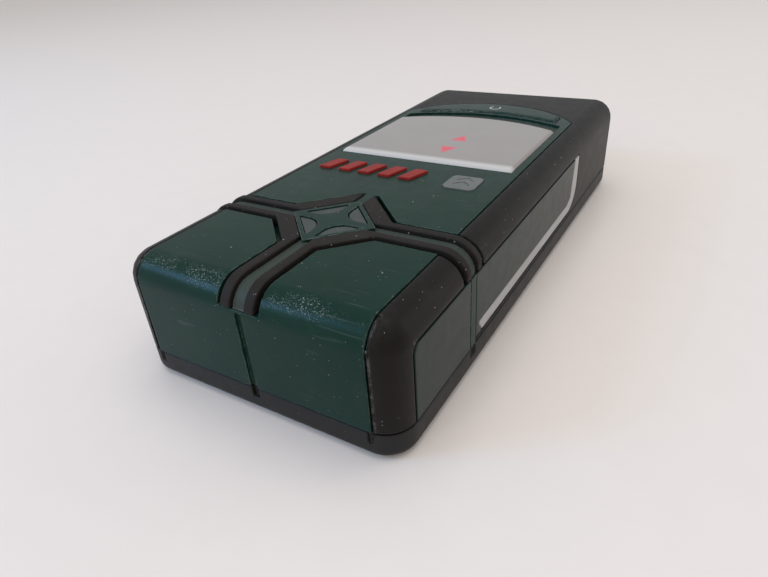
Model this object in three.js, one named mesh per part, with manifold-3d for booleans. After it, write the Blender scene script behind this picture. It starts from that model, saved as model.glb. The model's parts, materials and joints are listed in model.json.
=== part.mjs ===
// Hand-held wall detector (stud finder) lying on its back, as an assembly of separate pieces.
// Millimetres. Origin: bottom centre of the bounding box. +Y runs from the sensor nose to the display
// end, +X is to the right and +Z points up, away from the sensing face.
import * as THREE from "three";
import { mergeVertices } from "three/addons/utils/BufferGeometryUtils.js";
import Module from "manifold-3d";

const wasm = await Module();
wasm.setup();

// Driving dimensions of the housing.
const WIDTH = 64;
const LENGTH = 147;
const HEIGHT = 27;
const NOSE_CORNER = 6.2;
const TAIL_CORNER = 6.2;
const TOP_EDGE = 5.8;
const BASE_EDGE = 2;
const TABLE_Z = -1.2; // the plane under the glide pads, moved up to Z = 0 once a piece is made
const BASE_Z = TABLE_Z + 0.4; // the glide pads stand this far out of the base
const PARTING_Z = 5.2;
const PARTING_GAP = 0.3;
const WALL = 3.4;
const FLOOR = 3;
const HALF_W = WIDTH / 2;
const NOSE_Y = -LENGTH / 2;
const TAIL_Y = LENGTH / 2;
const ROOF_Z = HEIGHT - WALL;
const FLOOR_Z = BASE_Z + FLOOR;
const LIP = { rise: 1.6, inner: 1.5 };
const SILL = 3;
const SEAM_FOOT_Z = 2.6;
const TINY = 0.012; // edges shorter than this are closed up after the cuts
const OVERLAP = 0.5; // how far a joined piece runs into its neighbour
const ARC_STEPS = 20;
const BEYOND = 4; // how far a cutting block runs past the housing
const BEVEL_STEPS = 6;

// Overmoulded skin: rubber, side panels and trim lie in recesses of this depth.
const SKIN = 1.6;
const SKIN_GAP = 0.12;
const EDGE_GAP = 0.15;
const SEAL = 0.02; // the recesses are cut this much wider, so that no web stays between neighbours
const SHOULDER_X = 26.4; // where the rubber starts on the top face
const SHOULDER_Z = 21.3; // where it ends on the side
const NOSE_BAND_Y = fromNose(6.1);
const CAP_Y = fromNose(104);
const CAP_ARC_RADIUS = 32;
const CAP_ARC_Y = fromNose(95.5);
const SILL_Z = 6.2; // top of the thin rubber sill below the side trim

// Marking grooves with their rubber ridges, and the star over the sensor.
const SENSOR_Y = fromNose(30.4);
const GROOVE_DEPTH = 2.4;
const RIDGE_RISE = 0.4; // the rubber ridges stand this far above the housing's surface
const SLOT = 1; // open slot between a rubber ridge and the housing's plates
const GROOVE_HALF_X = 4.9;
const GROOVE_HALF_Y = 4.4;
const GROOVE_END_Z = 22.5;
const CHANNEL_HALF_X = 1.55; // sunk channel between the ridges
const CHANNEL_HALF_Y = 1.4;
const CHANNEL_DEPTH = 0.5;
const STUB_HALF = 1.2; // the short stub that joins the star to the plate behind it
const SEAM_HALF = 0.8;
const SEAM_DEPTH = 0.6;
const DIAMOND = 17.3; // centre to corner
const DIAMOND_FLAT_Y = 15.2; // the far corner is cut flat here
const PLATFORM = 10.5;
const PLATFORM_RISE = 0.3;
const PETAL_OUTER = 9.2;
const PETAL_ARM = 1.1;
const PETAL_RADIUS = 4.2;
const GUIDE_PLATE = 1.4;
const GUIDE_RISE = 0.05;
const GROOVE_GAP = 0.12;

// Side panels, seam and trim.
const PANEL_CORNER = 1.8;
const PANEL_FRONT_END_Y = fromNose(28.8);
const PANEL_REAR_Y = fromNose(31.2);
const TRIM_START_Y = fromNose(33.2);
const TRIM_LOW_Z = 6.5;
const TRIM_HIGH_Z = 9.1;
const TRIM_CORNER_Y = fromNose(98.5);
const TRIM_TOP_Y = fromNose(100);
const TRIM_BEND = 7;
const TRIM_NIB = 1.4; // the slanted start of the low leg

// Display.
const LENS_HALF_X = 24.4;
const LENS_NEAR_Y = fromNose(69.6);
const LENS_FAR_Y = fromNose(109.4);
const LENS_ARC_RADIUS = 52;
const LENS_RISE = 0.6;
const LENS_THICK = 1.5;
const LENS_CHAMFER = 0.65;
const LENS_SEAT_Z = HEIGHT + LENS_RISE - LENS_THICK;
const MASK_THICK = 0.25;
const MASK_BORDER = 2.4;
const MOAT_Y = fromNose(115.6);
const MOAT_Z = 26.1;

// Power key.
const KEY_HALF_X = 22;
const KEY_NEAR_Y = fromNose(117.0);
const KEY_TOP_Z = 27.5;
const KEY_FAR_MARGIN = 1.0;
const KEY_GAP = 0.25;
const KEY_FLANGE = 0.5;
const KEY_FLANGE_REACH = 0.9;
const KEY_CROWN_STEP = 0.5;
const KEY_SHELL = 1.6;
const KEY_Y = fromNose(121);
const KEY_BOARD = { halfX: 12, halfY: 6, z: 20.3, thick: 0.8 };
const SWITCH = { half: 3, topZ: 22.3, bore: 1.4, floor: 0.25, plunger: 1.1, plungerTopZ: 22.85, foot: 0.35 };

// Battery bay and its sliding cover.
const BATTERY = { length: 46.4, width: 26.5, height: 17.5, x: -2.4, y: fromNose(128), z: 2.5 };
const DOOR_Y = fromNose(111.8);
const DOOR_HALF_X = 26;
const DOOR_GAP = 0.25;
const DOOR_WALL = 2.4;
const DOOR_RIBS = { count: 5, first: 6, pitch: 2.4, width: 1.2, halfX: 7, depth: 0.6 };
const RAIL = { reach: 1.2, low: 1.3, high: 2.2, start: fromNose(114), end: fromNose(141), gap: 0.2 };
const BAY_WALL = { near: DOOR_Y - 2.5, far: DOOR_Y - 1.3 };
const TERMINAL = { offset: 6.35, small: 2.8, large: 3.9, length: 2.6, sink: 0.5 };
const SNAP = { gap: 0.3, thick: 1.8, halfHeight: 5.5, margin: 1 };
const LEAD_RADIUS = 0.6;

// Boards.
const BOARD_Z = 16.4;
const BOARD_THICK = 1.6;
const BOARD_TOP = BOARD_Z + BOARD_THICK;
const BOARD = { halfX: 26.6, y0: fromNose(14), y1: fromNose(109), corner: 1.5 };
const CHIP_GAP = 0.1;
const CHIP_Z = BOARD_TOP + CHIP_GAP;

// Sensor: two windings on one bobbin under a small board, over a foil plate.
const COIL_Z = 3.6;
const BOBBIN = { hole: 6, hub: 8, wall: 13.2, wallEnd: 14.2, flange: 21, height: 8, plate: 1 };
const WINDING = { clear: 0.3, low: 1.3, high: 6.7 };
const SENSOR_HALF_X = 21;
const SENSOR_HALF_Y = 18;
const SENSOR_BOARD_THICK = 1.2;
const BUZZER = { x: 11, y: fromNose(58), radius: 6, height: 4, hole: 1 };

const SCREWS = [
  [-24.4, fromNose(8.8)],
  [24.4, fromNose(8.8)],
  [-24.4, fromNose(103.2)],
  [24.4, fromNose(103.2)],
];
const SCREW = { head: 2.1, headHeight: 1.4, shank: 1.1, seatZ: 2.5, tipZ: 12 };
const SCREW_CLEARANCE = 0.3;
const DRIVE = { length: 2.6, width: 0.6, depth: 1.4 };
const BOSS_RADIUS = 3.1;
const BOSS_FOOT_Z = 4.6;
const BOSS_ROOM = 0.5;
const PADS = [
  [-14, fromNose(9)],
  [14, fromNose(9)],
  [-14, fromNose(104)],
  [14, fromNose(104)],
];
const PAD_RADIUS = 4;
const PAD_THICK = 0.9;
const PAD_GAP = 0.2;

// Raised trim on the top face.
const ACCENTS = [-22.4, -16.6, -10.8, -5.0, 0.8];
const ACCENT_Y = [fromNose(56.4), fromNose(62.6)];
const ACCENT = { width: 3.2, slant: 1.8, rise: 0.6, sink: 0.4 };
const BADGE = { x: 16.6, y: fromNose(59.2), half: 3.9, corner: 1.4, rise: 0.25, sink: 0.4 };
const CHEVRON = { half: 2, height: 1.6, thick: 0.8, places: [-1.7, 0.9] };
const POCKET_DEPTH = 0.5;

// Display stack.
const LCD = { halfX: 21, y0: fromNose(72.6), y1: fromNose(103.5), thick: 2.2, light: 1.8 };
const GASKET = { width: 1.6, thick: 0.6 };

function fromNose(distance) {
  return distance - LENGTH / 2;
}

// ---- solids from three.js geometry ----

function solid(geometry) {
  const bare = geometry.index ? geometry.toNonIndexed() : geometry;
  bare.deleteAttribute("normal");
  bare.deleteAttribute("uv");
  const merged = mergeVertices(bare, 1e-4);
  return new wasm.Manifold(
    new wasm.Mesh({
      numProp: 3,
      vertProperties: new Float32Array(merged.attributes.position.array),
      triVerts: new Uint32Array(merged.index.array),
    }),
  );
}

function union(...pieces) {
  return pieces.reduce((sum, piece) => sum.add(piece));
}

function prismZ(shape, low, high, curveSegments = 12) {
  const options = { depth: high - low, bevelEnabled: false, curveSegments };
  return solid(new THREE.ExtrudeGeometry(shape, options).translate(0, 0, low));
}

// The shape's own x and y become Y and Z, and it is extruded along X.
function prismX(shape, low, high, curveSegments = 12) {
  const options = { depth: high - low, bevelEnabled: false, curveSegments };
  const turned = new THREE.Matrix4().makeBasis(
    new THREE.Vector3(0, 1, 0),
    new THREE.Vector3(0, 0, 1),
    new THREE.Vector3(1, 0, 0),
  );
  return solid(new THREE.ExtrudeGeometry(shape, options).applyMatrix4(turned).translate(low, 0, 0));
}

function block(x0, x1, y0, y1, z0, z1) {
  const geometry = new THREE.BoxGeometry(x1 - x0, y1 - y0, z1 - z0);
  return solid(geometry.translate((x0 + x1) / 2, (y0 + y1) / 2, (z0 + z1) / 2));
}

// The outline in Y and Z, extruded through one side wall.
function sidePrism(side, shape) {
  const out = HALF_W + BEYOND;
  return side > 0 ? prismX(shape, SHOULDER_X, out, 8) : prismX(shape, -out, -SHOULDER_X, 8);
}

// A block mirrored to both sides: inner and outer are distances from the centre plane.
function sideBlock(side, inner, outer, y0, y1, z0, z1) {
  const [x0, x1] = side > 0 ? [inner, outer] : [-outer, -inner];
  return block(x0, x1, y0, y1, z0, z1);
}

function cylinder(x, y, radius, low, high, segments = 16) {
  const geometry = new THREE.CylinderGeometry(radius, radius, high - low, segments);
  return solid(geometry.rotateX(Math.PI / 2).translate(x, y, (low + high) / 2));
}

function polygon(points) {
  return new THREE.Shape(points.map(([x, y]) => new THREE.Vector2(x, y)));
}

function roundedRectangle(x0, x1, y0, y1, radius) {
  const shape = new THREE.Shape();
  shape.absarc(x1 - radius, y1 - radius, radius, 0, Math.PI / 2);
  shape.absarc(x0 + radius, y1 - radius, radius, Math.PI / 2, Math.PI);
  shape.absarc(x0 + radius, y0 + radius, radius, Math.PI, 1.5 * Math.PI);
  shape.absarc(x1 - radius, y0 + radius, radius, 1.5 * Math.PI, 2 * Math.PI);
  return shape;
}

// ---- the housing's outer form ----

function bodyOutline(inset) {
  const halfWidth = HALF_W - inset;
  const halfLength = LENGTH / 2 - inset;
  const nose = NOSE_CORNER - inset;
  const tail = TAIL_CORNER - inset;
  const shape = new THREE.Shape();
  shape.absarc(halfWidth - tail, halfLength - tail, tail, 0, Math.PI / 2);
  shape.absarc(tail - halfWidth, halfLength - tail, tail, Math.PI / 2, Math.PI);
  shape.absarc(nose - halfWidth, nose - halfLength, nose, Math.PI, 1.5 * Math.PI);
  shape.absarc(halfWidth - nose, nose - halfLength, nose, 1.5 * Math.PI, 2 * Math.PI);
  return shape;
}

function bevelledBody(inset, radius, low, high) {
  const options = {
    depth: high - low - 2 * radius,
    bevelThickness: radius,
    bevelSize: radius,
    bevelOffset: -radius,
    bevelSegments: BEVEL_STEPS,
    curveSegments: BEVEL_STEPS,
  };
  const geometry = new THREE.ExtrudeGeometry(bodyOutline(inset), options);
  return solid(geometry.translate(0, 0, low + radius));
}

// The whole outer form, shrunk by inset on every face.
function envelope(inset) {
  const upper = bevelledBody(inset, TOP_EDGE - inset, -2 * HEIGHT, HEIGHT - inset);
  const lower = bevelledBody(inset, Math.max(BASE_EDGE - inset, 0.4), BASE_Z + inset, 2 * HEIGHT);
  return upper.intersect(lower);
}

const outer = envelope(0);
const underSkin = envelope(SKIN);
const underRecess = envelope(SKIN + SKIN_GAP);
const skin = outer.subtract(underSkin);
const aboveParting = block(
  -HALF_W - BEYOND,
  HALF_W + BEYOND,
  NOSE_Y - BEYOND,
  TAIL_Y + BEYOND,
  PARTING_Z,
  HEIGHT + BEYOND,
);

// ---- zones of the overmoulded skin; gap shrinks a zone all round ----

function rubberCornerZone(side, gap) {
  const out = HALF_W + BEYOND;
  const inner = SHOULDER_X + gap;
  const nose = NOSE_Y - BEYOND;
  const top = HEIGHT + BEYOND;
  const upright = sideBlock(side, inner, out, nose, NOSE_BAND_Y - gap, PARTING_Z, top);
  const shoulder = sideBlock(side, inner, out, nose, SENSOR_Y - GROOVE_HALF_Y - gap, SHOULDER_Z + gap, top);
  const fillet = sideBlock(
    side,
    inner,
    out,
    NOSE_BAND_Y - 1,
    NOSE_BAND_Y + PANEL_CORNER,
    SHOULDER_Z - PANEL_CORNER,
    SHOULDER_Z + 1,
  );
  return union(upright, shoulder, fillet.subtract(frontPanelZone(side, -gap)));
}

// The green top between the shoulders, up to the arc where the end cap starts.
function tongue(grow) {
  const half = SHOULDER_X + grow;
  const radius = CAP_ARC_RADIUS + grow;
  const meet = Math.asin(half / radius);
  const shape = new THREE.Shape();
  shape.moveTo(-half, NOSE_Y - BEYOND);
  shape.lineTo(half, NOSE_Y - BEYOND);
  shape.absarc(0, CAP_ARC_Y, radius, Math.PI / 2 - meet, Math.PI / 2 + meet);
  return prismZ(shape, 0, HEIGHT + BEYOND, 24);
}

function surroundZone(gap) {
  const out = HALF_W + BEYOND;
  const top = HEIGHT + BEYOND;
  const far = TAIL_Y + BEYOND;
  const start = SENSOR_Y + GROOVE_HALF_Y + gap;
  const cap = block(-out, out, CAP_Y + gap, far, PARTING_Z, top);
  const sides = [-1, 1].flatMap((side) => [
    sideBlock(side, SHOULDER_X + gap, out, start, far, SHOULDER_Z + gap, top),
    sideBlock(side, SHOULDER_X + gap, out, PANEL_REAR_Y + gap, far, PARTING_Z, SILL_Z - gap),
    bendFiller(side, gap),
  ]);
  return union(cap, ...sides).subtract(tongue(gap));
}

// The rubber between the trim's outer bend and the corner where sill and end cap meet.
function bendFiller(side, gap) {
  const y = CAP_Y - EDGE_GAP - TRIM_BEND;
  const z = TRIM_LOW_Z + TRIM_BEND;
  const radius = TRIM_BEND + EDGE_GAP;
  const shape = new THREE.Shape();
  shape.moveTo(y, SILL_Z - 1);
  shape.lineTo(CAP_Y + 1, SILL_Z - 1);
  shape.lineTo(CAP_Y + 1, z);
  shape.lineTo(y + radius, z);
  shape.absarc(y, z, radius, 0, -Math.PI / 2, true);
  return sidePrism(side, shape).subtract(sideBlock(side, 0, SHOULDER_X + gap, NOSE_Y, TAIL_Y, 0, HEIGHT));
}

// The front side panel, whose upper corner beside the nose is rounded.
function frontPanelZone(side, gap) {
  const near = NOSE_BAND_Y + gap;
  const far = PANEL_FRONT_END_Y - gap;
  const top = SHOULDER_Z - gap;
  const radius = PANEL_CORNER - gap;
  const shape = new THREE.Shape();
  shape.moveTo(near, PARTING_Z);
  shape.lineTo(far, PARTING_Z);
  shape.lineTo(far, top);
  shape.lineTo(near + radius, top);
  shape.absarc(near + radius, top - radius, radius, Math.PI / 2, Math.PI);
  return sidePrism(side, shape);
}

function rearPanelZone(side, gap) {
  return sideBlock(
    side,
    SHOULDER_X,
    HALF_W + BEYOND,
    PANEL_REAR_Y + gap,
    CAP_Y - gap,
    SILL_Z + gap,
    SHOULDER_Z - gap,
  );
}

// The light L-shaped strip: a low leg along the panel and an upright leg before the end cap.
function trimZone(side, grow) {
  const right = CAP_Y - EDGE_GAP + grow;
  const low = TRIM_LOW_Z - grow;
  const high = TRIM_HIGH_Z + grow;
  const shape = new THREE.Shape();
  shape.moveTo(TRIM_START_Y + TRIM_NIB - grow, low);
  shape.lineTo(right - TRIM_BEND, low);
  shape.absarc(right - TRIM_BEND, low + TRIM_BEND, TRIM_BEND, -Math.PI / 2, 0);
  shape.lineTo(right, SHOULDER_Z - EDGE_GAP);
  shape.lineTo(TRIM_TOP_Y - grow, SHOULDER_Z - EDGE_GAP);
  shape.lineTo(TRIM_CORNER_Y - grow, high + TRIM_NIB);
  shape.lineTo(TRIM_CORNER_Y - 2 * TRIM_NIB - grow, high);
  shape.lineTo(TRIM_START_Y - grow, high);
  shape.lineTo(TRIM_START_Y - grow, high - TRIM_NIB / 2);
  return sidePrism(side, shape);
}

// ---- marking grooves ----

function diamond(halfDiagonal, low, high) {
  const shape = polygon([
    [halfDiagonal, SENSOR_Y],
    [0, SENSOR_Y + halfDiagonal],
    [-halfDiagonal, SENSOR_Y],
    [0, SENSOR_Y - halfDiagonal],
  ]);
  return prismZ(shape, low, high);
}

function grooveZone(gap, endGap = gap) {
  const top = HEIGHT + BEYOND;
  const out = HALF_W + BEYOND;
  const half = GROOVE_HALF_X - gap;
  const halfY = GROOVE_HALF_Y - gap;
  const ring = diamond(DIAMOND - gap * Math.SQRT2, ROOF_Z, top).intersect(
    block(-out, out, NOSE_Y, SENSOR_Y + DIAMOND_FLAT_Y - gap, 0, top + 1),
  );
  return union(
    block(-half, half, NOSE_Y - BEYOND, SENSOR_Y, GROOVE_END_Z + endGap, top),
    block(-out, out, SENSOR_Y - halfY, SENSOR_Y + halfY, SHOULDER_Z + endGap, top),
    ring,
  );
}

// What stands between the ridges: the star and the stub behind it.
function starZone(gap) {
  const top = HEIGHT + BEYOND;
  const far = SENSOR_Y + DIAMOND + 1;
  const stub = block(-STUB_HALF - gap, STUB_HALF + gap, SENSOR_Y, far, ROOF_Z, top);
  return diamond(PLATFORM + gap * Math.SQRT2, ROOF_Z, top).add(stub);
}

function channelZone(gap) {
  const top = HEIGHT + BEYOND;
  const out = HALF_W + BEYOND;
  const half = CHANNEL_HALF_X + gap;
  const halfY = CHANNEL_HALF_Y + gap;
  return union(
    block(-half, half, NOSE_Y - BEYOND, SENSOR_Y, GROOVE_END_Z - 1, top),
    block(-out, out, SENSOR_Y - halfY, SENSOR_Y + halfY, SHOULDER_Z - 1, top),
  );
}

// One petal of the star, in the quadrant given by the two signs. Its inner corner is rounded.
function petal(signX, signY, shrink, low, high) {
  const arm = PETAL_ARM + shrink;
  const tip = PETAL_OUTER - shrink * Math.SQRT2 - arm;
  const shape = new THREE.Shape();
  shape.moveTo(tip, arm);
  shape.lineTo(arm, tip);
  shape.lineTo(arm, arm + PETAL_RADIUS);
  shape.absarc(arm + PETAL_RADIUS, arm + PETAL_RADIUS, PETAL_RADIUS, Math.PI, 1.5 * Math.PI);
  const points = shape.getPoints(6).map((point) => [signX * point.x, SENSOR_Y + signY * point.y]);
  if (signX * signY < 0) {
    points.reverse();
  }
  return prismZ(polygon(points), low, high);
}

const QUADRANTS = [
  [-1, -1],
  [1, -1],
  [-1, 1],
  [1, 1],
];

// ---- display and key outlines ----

function lensShape(inset) {
  const half = LENS_HALF_X - inset;
  const far = LENS_FAR_Y - inset;
  const centre = far - LENS_ARC_RADIUS;
  const meet = Math.asin(half / LENS_ARC_RADIUS);
  const shape = new THREE.Shape();
  shape.moveTo(-half, LENS_NEAR_Y + inset);
  shape.lineTo(half, LENS_NEAR_Y + inset);
  shape.absarc(0, centre, LENS_ARC_RADIUS, Math.PI / 2 - meet, Math.PI / 2 + meet);
  return shape;
}

// The shallow crescent hollow between the lens and the key.
function moatShape() {
  const radius = LENS_ARC_RADIUS;
  const meet = Math.asin(LENS_HALF_X / radius);
  const shape = new THREE.Shape();
  shape.absarc(0, MOAT_Y - radius, radius, Math.PI / 2 - meet, Math.PI / 2 + meet);
  shape.absarc(0, LENS_FAR_Y - radius, radius, Math.PI / 2 + meet, Math.PI / 2 - meet, true);
  return shape;
}

function keyShape(inset) {
  const half = KEY_HALF_X - inset;
  const nearRadius = LENS_ARC_RADIUS + inset;
  const farRadius = CAP_ARC_RADIUS - KEY_FAR_MARGIN - inset;
  const nearMeet = Math.asin(half / nearRadius);
  const farMeet = Math.asin(half / farRadius);
  const nearCentre = KEY_NEAR_Y - LENS_ARC_RADIUS;
  const shape = new THREE.Shape();
  shape.absarc(0, CAP_ARC_Y, farRadius, Math.PI / 2 - farMeet, Math.PI / 2 + farMeet);
  shape.absarc(0, nearCentre, nearRadius, Math.PI / 2 + nearMeet, Math.PI / 2 - nearMeet, true);
  return shape;
}

// ---- housing pieces ----

function screwBosses(low, high, radius) {
  return union(...SCREWS.map(([x, y]) => cylinder(x, y, radius, low, high)));
}

function makeTopShell() {
  const top = HEIGHT + BEYOND;
  const straight = prismZ(bodyOutline(WALL), PARTING_Z - 1, PARTING_Z + BEYOND);
  const wall = outer.intersect(aboveParting).subtract(envelope(WALL).add(straight));
  const bayHalf = HALF_W - WALL + OVERLAP;
  const bay = block(-bayHalf, bayHalf, BAY_WALL.near, BAY_WALL.far, PARTING_Z, ROOF_Z + OVERLAP);
  const leadNotch = block(21.4, 25.8, BAY_WALL.near - 1, BAY_WALL.far + 1, PARTING_Z - 1, 14.5);
  const bosses = screwBosses(BOSS_FOOT_Z, ROOF_Z + OVERLAP, BOSS_RADIUS);
  const pilots = screwBosses(0, SCREW.tipZ + 1, SCREW.shank + SCREW_CLEARANCE);
  const zones = union(
    surroundZone(-SEAL),
    ...[-1, 1].flatMap((side) => [
      rubberCornerZone(side, -SEAL),
      frontPanelZone(side, -SEAL),
      rearPanelZone(side, -SEAL),
    ]),
  );
  const open = grooveZone(0).subtract(starZone(0));
  const groove = open.subtract(channelZone(0)).subtract(envelope(GROOVE_DEPTH));
  const channel = open.intersect(channelZone(0)).subtract(envelope(CHANNEL_DEPTH));
  const platform = diamond(PLATFORM, ROOF_Z + OVERLAP, HEIGHT + PLATFORM_RISE);
  const petals = union(...QUADRANTS.map(([sx, sy]) => petal(sx, sy, 0, ROOF_Z - 1, top)));
  const seam = block(-SEAM_HALF, SEAM_HALF, NOSE_Y - BEYOND, NOSE_Y + BEYOND, 0, GROOVE_END_Z - OVERLAP);
  const pockets = union(
    ...ACCENTS.map((x) => accentBar(x, EDGE_GAP, HEIGHT - POCKET_DEPTH, top)),
    prismZ(badgeShape(-EDGE_GAP), HEIGHT - POCKET_DEPTH, top),
  );
  const window = union(
    prismZ(lensShape(-EDGE_GAP), LENS_SEAT_Z - MASK_THICK - CHIP_GAP, top, ARC_STEPS),
    prismZ(lensShape(MASK_BORDER), ROOF_Z - 1, HEIGHT, ARC_STEPS),
    prismZ(moatShape(), MOAT_Z, top, ARC_STEPS),
    prismZ(keyShape(-KEY_GAP), ROOF_Z - 1, top, ARC_STEPS),
  );
  return wall
    .add(bay.subtract(leadNotch))
    .add(bosses)
    .subtract(pilots)
    .subtract(zones.subtract(underRecess))
    .subtract(groove)
    .subtract(channel)
    .add(platform)
    .subtract(petals)
    .subtract(seam.subtract(envelope(SEAM_DEPTH)))
    .subtract(window)
    .subtract(pockets);
}

function makeBaseTray() {
  const top = PARTING_Z - PARTING_GAP;
  const high = PARTING_Z + BEYOND;
  const slab = block(-HALF_W, HALF_W, NOSE_Y, TAIL_Y, TABLE_Z, top);
  const hollow = prismZ(bodyOutline(WALL), FLOOR_Z, high);
  const root = FLOOR_Z - PAD_GAP;
  const lip = prismZ(bodyOutline(WALL + PARTING_GAP), root, PARTING_Z + LIP.rise).subtract(
    prismZ(bodyOutline(WALL + LIP.inner), 0, high),
  );
  const feet = screwBosses(root, BOSS_FOOT_Z - PAD_GAP, BOSS_RADIUS + 0.4);
  const holes = screwBosses(TABLE_Z, high, SCREW.shank + SCREW_CLEARANCE);
  const heads = screwBosses(TABLE_Z, SCREW.seatZ, SCREW.head + SCREW_CLEARANCE);
  const bossRoom = screwBosses(BOSS_FOOT_Z - EDGE_GAP, high, BOSS_RADIUS + BOSS_ROOM);
  const doorHalf = DOOR_HALF_X + DOOR_GAP;
  const doorway = block(-doorHalf, doorHalf, DOOR_Y - DOOR_GAP, TAIL_Y + BEYOND, TABLE_Z, high);
  const lipEnd = block(-HALF_W, HALF_W, DOOR_Y - SILL, TAIL_Y + BEYOND, top, high);
  const sill = block(-DOOR_HALF_X, DOOR_HALF_X, DOOR_Y - SILL, DOOR_Y - DOOR_GAP, root, top);
  const guideTop = RAIL.high + 1;
  const guides = union(
    ...[-1, 1].map((side) =>
      sideBlock(side, doorHalf, HALF_W - SILL, DOOR_Y - SILL, RAIL.end + 2, BASE_Z + PAD_GAP, guideTop),
    ),
  );
  const railRoom = DOOR_HALF_X + RAIL.reach + DOOR_GAP;
  const railLow = RAIL.low - RAIL.gap;
  const railHigh = RAIL.high + RAIL.gap;
  const rails = block(-railRoom, railRoom, RAIL.start - 1, TAIL_Y + BEYOND, railLow, railHigh);
  const padTop = TABLE_Z + PAD_THICK + 0.1;
  const pockets = union(
    ...PADS.map(([x, y]) => cylinder(x, y, PAD_RADIUS + PAD_GAP, TABLE_Z, padTop, 24)),
  );
  const seams = union(
    block(-SEAM_HALF, SEAM_HALF, NOSE_Y - BEYOND, NOSE_Y + 1, SEAM_FOOT_Z, high),
    ...[-1, 1].flatMap((side) => [
      sideBlock(side, HALF_W - 0.6, HALF_W + 1, PANEL_FRONT_END_Y, PANEL_REAR_Y, SEAM_FOOT_Z, high),
      sideBlock(side, SHOULDER_X - 0.9, SHOULDER_X, NOSE_Y - 1, NOSE_Y + 0.6, SEAM_FOOT_Z, high),
    ]),
  );
  return outer
    .intersect(slab)
    .subtract(hollow)
    .add(lip.subtract(lipEnd))
    .add(feet)
    .add(sill)
    .add(guides)
    .subtract(bossRoom)
    .subtract(holes)
    .subtract(heads)
    .subtract(doorway)
    .subtract(rails)
    .subtract(pockets)
    .subtract(seams);
}

function makeBatteryDoor() {
  const top = PARTING_Z - PARTING_GAP;
  const plan = block(-DOOR_HALF_X, DOOR_HALF_X, DOOR_Y, TAIL_Y + BEYOND, TABLE_Z, top);
  const hollow = block(-HALF_W, HALF_W, DOOR_Y - 1, TAIL_Y - DOOR_WALL, FLOOR_Z, top + 1);
  const reach = DOOR_HALF_X + RAIL.reach;
  const rails = block(-reach, reach, RAIL.start, RAIL.end, RAIL.low, RAIL.high);
  const ribHigh = BASE_Z + DOOR_RIBS.depth;
  const ribs = [];
  for (let i = 0; i < DOOR_RIBS.count; i += 1) {
    const y = DOOR_Y + DOOR_RIBS.first + i * DOOR_RIBS.pitch;
    ribs.push(block(-DOOR_RIBS.halfX, DOOR_RIBS.halfX, y, y + DOOR_RIBS.width, TABLE_Z, ribHigh));
  }
  return outer.intersect(plan).subtract(hollow).add(rails).subtract(union(...ribs));
}

// ---- trim on the top face ----

// A slanted raised bar whose lower left corner is at x.
function accentBar(x, grow, low, high) {
  const [y0, y1] = ACCENT_Y;
  const shape = polygon([
    [x - grow, y0 - grow],
    [x + ACCENT.width + grow, y0 - grow],
    [x + ACCENT.width + ACCENT.slant + grow, y1 + grow],
    [x + ACCENT.slant - grow, y1 + grow],
  ]);
  return prismZ(shape, low, high);
}

function badgeShape(inset) {
  const { x, y, corner } = BADGE;
  const half = BADGE.half - inset;
  return roundedRectangle(x - half, x + half, y - half, y + half, corner);
}

function makeBadge() {
  const { half, height, thick } = CHEVRON;
  const plate = prismZ(badgeShape(0), HEIGHT - BADGE.sink, HEIGHT + BADGE.rise);
  const marks = CHEVRON.places.map((offset) => {
    const y = BADGE.y + offset;
    const shape = polygon([
      [BADGE.x - half, y],
      [BADGE.x, y + height],
      [BADGE.x + half, y],
      [BADGE.x + half, y + thick],
      [BADGE.x, y + height + thick],
      [BADGE.x - half, y + thick],
    ]);
    return prismZ(shape, HEIGHT, HEIGHT + 1);
  });
  return plate.subtract(union(...marks));
}

// ---- overmoulded pieces ----

function makeCorner(side) {
  return skin.intersect(rubberCornerZone(side, EDGE_GAP));
}

function makeInlays() {
  const room = block(-HALF_W, HALF_W, NOSE_Y, TAIL_Y, 0, HEIGHT + RIDGE_RISE);
  const layer = envelope(-RIDGE_RISE).intersect(room).subtract(envelope(GROOVE_DEPTH - SKIN_GAP));
  const middle = channelZone(GROOVE_GAP).add(starZone(GROOVE_GAP));
  const whole = layer.intersect(grooveZone(SLOT, GROOVE_GAP).subtract(middle));
  const far = HALF_W + BEYOND;
  return QUADRANTS.map(([sx, sy]) => {
    const quarter = block(
      sx < 0 ? -far : 0,
      sx < 0 ? 0 : far,
      sy < 0 ? NOSE_Y - 1 : SENSOR_Y,
      sy < 0 ? SENSOR_Y : TAIL_Y,
      0,
      HEIGHT + 1,
    );
    return whole.intersect(quarter);
  });
}

function makeLightGuide() {
  const high = ROOF_Z - PARTING_GAP;
  const base = cylinder(0, SENSOR_Y, PLATFORM, high - GUIDE_PLATE, high, 32);
  const petals = QUADRANTS.map(([sx, sy]) => petal(sx, sy, SKIN_GAP, high - OVERLAP, HEIGHT + GUIDE_RISE));
  return union(base, ...petals);
}

// ---- display stack ----

function makeLens() {
  const low = LENS_SEAT_Z;
  const high = HEIGHT + LENS_RISE;
  const bevel = LENS_CHAMFER;
  const options = {
    depth: LENS_THICK - 2 * bevel,
    bevelThickness: bevel,
    bevelSize: bevel,
    bevelOffset: -bevel,
    bevelSegments: 1,
    curveSegments: ARC_STEPS,
  };
  const geometry = new THREE.ExtrudeGeometry(lensShape(0), options).translate(0, 0, low + bevel);
  const straight = prismZ(lensShape(0), low, (low + high) / 2, ARC_STEPS);
  return solid(geometry).add(straight);
}

function makeMask() {
  const top = LENS_SEAT_Z - CHIP_GAP / 2;
  const plate = prismZ(lensShape(EDGE_GAP), top - MASK_THICK, top, ARC_STEPS);
  return plate.subtract(prismZ(lensShape(MASK_BORDER + OVERLAP), 0, HEIGHT, ARC_STEPS));
}

function lcdBlock(grow, low, high) {
  return block(-LCD.halfX - grow, LCD.halfX + grow, LCD.y0 - grow, LCD.y1 + grow, low, high);
}

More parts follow.
